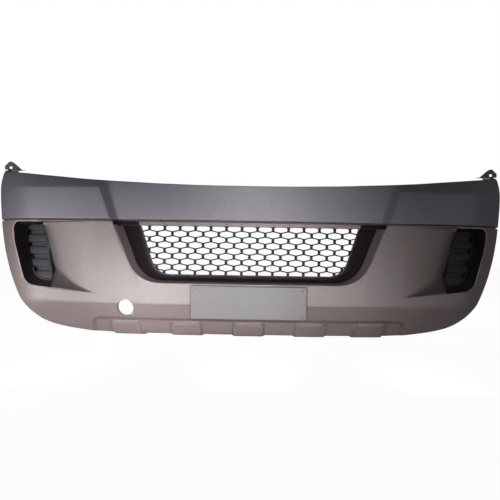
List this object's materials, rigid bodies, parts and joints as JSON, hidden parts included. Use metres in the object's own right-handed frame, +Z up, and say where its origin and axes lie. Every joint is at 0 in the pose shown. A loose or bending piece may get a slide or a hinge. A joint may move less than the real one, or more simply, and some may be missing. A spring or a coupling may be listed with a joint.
{
  "type": "bumper cover",
  "caption": "Front bumper cover of a van: painted-look grey skin, hexagon mesh grille, louvred fog lamp blanks, number plate panel and wing brackets.",
  "frame": {"origin": "middle of the top flange's centre tab, on its upper face, where the cover rests under the bonnet edge rail", "axes": "+X to the viewer's right when the cover is seen from the front, +Y from the front face towards the vehicle, +Z up"},
  "size_m": [1.9596, 0.4624, 0.6375],
  "materials": {
    "band_grey_plastic": "textured",
    "cover_grey_plastic": "textured",
    "panel_grey_plastic": "satin",
    "surround_black_plastic": "satin",
    "mesh_black_plastic": "satin",
    "bezel_black_plastic": "satin",
    "louvre_black_plastic": "satin",
    "bracket_black_plastic": "matte",
    "dark_steel": "satin",
    "zinc_steel": "satin"
  },
  "bodies": {
    "root": {"bracket_screw_1": "dark_steel", "bracket_screw_2": "dark_steel", "bracket_screw_3": "dark_steel", "bracket_screw_4": "dark_steel", "fog_bezel_left": "bezel_black_plastic", "fog_bezel_right": "bezel_black_plastic", "fog_blank_left": "louvre_black_plastic", "fog_blank_right": "louvre_black_plastic", "grille_mesh": "mesh_black_plastic", "grille_surround": "surround_black_plastic", "lower_cover": "cover_grey_plastic", "mesh_screw_1": "dark_steel", "mesh_screw_2": "dark_steel", "mesh_screw_3": "dark_steel", "mesh_screw_4": "dark_steel", "plate_panel": "panel_grey_plastic", "plate_screw_1": "zinc_steel", "plate_screw_2": "zinc_steel", "plate_screw_3": "zinc_steel", "plate_screw_4": "zinc_steel", "seam_screw_1": "dark_steel", "seam_screw_2": "dark_steel", "seam_screw_3": "dark_steel", "seam_screw_4": "dark_steel", "seam_screw_5": "dark_steel", "seam_screw_6": "dark_steel", "upper_band": "band_grey_plastic", "wing_bracket_left": "bracket_black_plastic", "wing_bracket_right": "bracket_black_plastic"}
  },
  "joints": []
}
